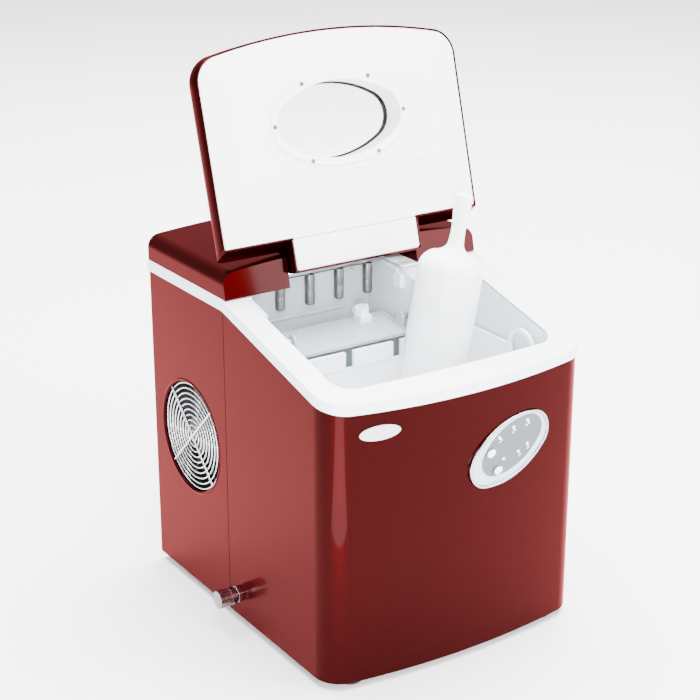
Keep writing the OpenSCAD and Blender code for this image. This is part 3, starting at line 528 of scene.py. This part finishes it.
def chamber_ledge_piece():
    """Moulded ledge across the back wall of the ice chamber, a little below the tray's pivot."""
    left, width, wall_y, height, steps = -84, 114, 69.9, 281, 24
    section = [(0, -2.4), (-1.4, -2.2), (-2.2, -1.2), (-2.4, 0), (-2.2, 1.2), (-1.4, 2.2), (0, 2.4)]
    rings = []
    for i in range(steps + 1):
        x = left + width * i / steps
        # full size from the second ring in, and thin at both ends
        size = min(1, 0.15 + min(i, steps - i) / 1.5)
        rings.append([(x, wall_y + y * size, height + z * size) for y, z in section])
    shape = bmesh.new()
    skin(shape, rings, closed=False)
    piece("chamber_ledge", shape, LINER, "cabinet")


def lamp_mark_pieces():
    """Small raised ice-cube marks by the lamps on the grey pad, generic and without lettering."""
    front_bow_r, front_band = 746, 12
    low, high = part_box("control_pad")
    centre = (low + high) / 2
    # the pad faces out square to the cabinet's bowed front
    angle = math.asin((centre.x - MID_X) / MM / front_bow_r)
    face = Matrix.Translation(centre) @ Matrix.Rotation(angle, 4, "Z") @ Matrix.Scale(MM, 4)
    points = [vertex.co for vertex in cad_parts["control_pad"].data.vertices]
    surface = min((face.inverted() @ point).y for point in points if point.y < low.y + front_band * MM)
    # each mark is its place on the pad and its size, and each has three cubes
    marks = (((17, 16), 3.0), ((0, 13), 2.6), ((-16, 7.5), 2.2), ((19, -8), 1.8), ((8.5, -13), 1.8))
    cubes = ((0, 0), (1.25, 0.75), (0.35, 1.6))
    shape = bmesh.new()
    for (x, z), size in marks:
        half = size * 0.34
        for right, up in cubes:
            cx, cz = x + right * size * 0.8, z + up * size * 0.8
            rings = []
            for shrink, rise in ((0, -0.1), (0, 0.08), (half * 0.2, 0.16)):
                side = half - shrink
                outline = rounded_box(cx - side, cx + side, cz - side, cz + side, half * 0.45, 3)
                rings.append(at_depth(surface - rise, outline))
            shape.faces.new(skin(shape, rings)[-1])
    piece("lamp_marks", shape, BUTTON, "cabinet", place=face)


finger_pieces()
scoop_piece()
chamber_ledge_piece()
lamp_mark_pieces()


# ---------------------------------------------------------------- camera, light, floor

# The photo's camera, from a fit to the cabinet's straight edges
camera_data = bpy.data.cameras.new("camera")
camera_data.lens = 86.67
camera_data.sensor_width = 36
camera = bpy.data.objects.new("camera", camera_data)
camera.location = CABINET @ Vector((-870.23, -1297.38, 844.67))
camera.rotation_euler = (math.radians(69.451), 0, math.radians(-33.46))
bpy.context.scene.collection.objects.link(camera)
bpy.context.scene.camera = camera


def pale_floor():
    """Plain floor of even squares, wide enough to fill the view."""
    reach, square = 20, 2
    lines = range(-reach, reach + 1, square)
    shape = bmesh.new()
    skin(shape, [[(x, y, 0) for x in lines] for y in lines], closed=False)
    mesh = bpy.data.meshes.new("floor")
    shape.to_mesh(mesh)
    shape.free()
    for face in mesh.polygons:
        face.use_smooth = True
    mesh.materials.append(material("floor_paper", (0.92, 0.92, 0.93), 0.7, mottle=0.01, mottle_size=0.6,
                                   grain=0.002, bump=0.02))
    floor = bpy.data.objects.new("floor", mesh)
    bpy.context.scene.collection.objects.link(floor)


def softbox(name, place, target, size, power):
    """Rectangular light that the camera can't see, pointed from its place to the target."""
    data = bpy.data.lights.new(name, "AREA")
    data.shape = "RECTANGLE"
    data.size, data.size_y = size
    data.energy = power
    obj = bpy.data.objects.new(name, data)
    obj.location = place
    obj.visible_camera = False
    obj.rotation_euler = (Vector(target) - Vector(place)).to_track_quat("-Z", "Y").to_euler()
    bpy.context.scene.collection.objects.link(obj)
    return obj


pale_floor()
middle = (MID_X, MID_Y, 0.25)
softbox("top_light", (MID_X + 0.1, MID_Y - 0.5, 1.9), middle, (1.5, 1.5), 120)
softbox("left_light", (MID_X - 0.95, MID_Y - 1.5, 0.75), middle, (0.25, 1.3), 60)
softbox("front_light", (MID_X + 1.15, MID_Y - 1.6, 0.6), middle, (0.7, 0.6), 48)
softbox("back_light", (MID_X + 0.7, MID_Y + 1.0, 2.6), (MID_X + 1.1, MID_Y + 1.9, 0), (3.2, 2.0), 520)
# the corner light lies just over the floor and shines up at the near corner of the cabinet
corner = (MID_X - 0.43, MID_Y - 0.62, 0.012)
corner_light = softbox("corner_light", corner, middle, (0.34, 0.55), 9)
corner_light.rotation_euler = (math.radians(180), 0, math.radians(-33))
softbox("bin_light", (MID_X - 0.25, MID_Y - 0.75, 1.25), (MID_X, MID_Y, 0.28), (0.5, 0.5), 12)

world = bpy.data.worlds.new("world")
world.use_nodes = True
world.node_tree.nodes["Background"].inputs["Color"].default_value = (0.95, 0.97, 1.0, 1)
world.node_tree.nodes["Background"].inputs["Strength"].default_value = 1.1
bpy.context.scene.world = world
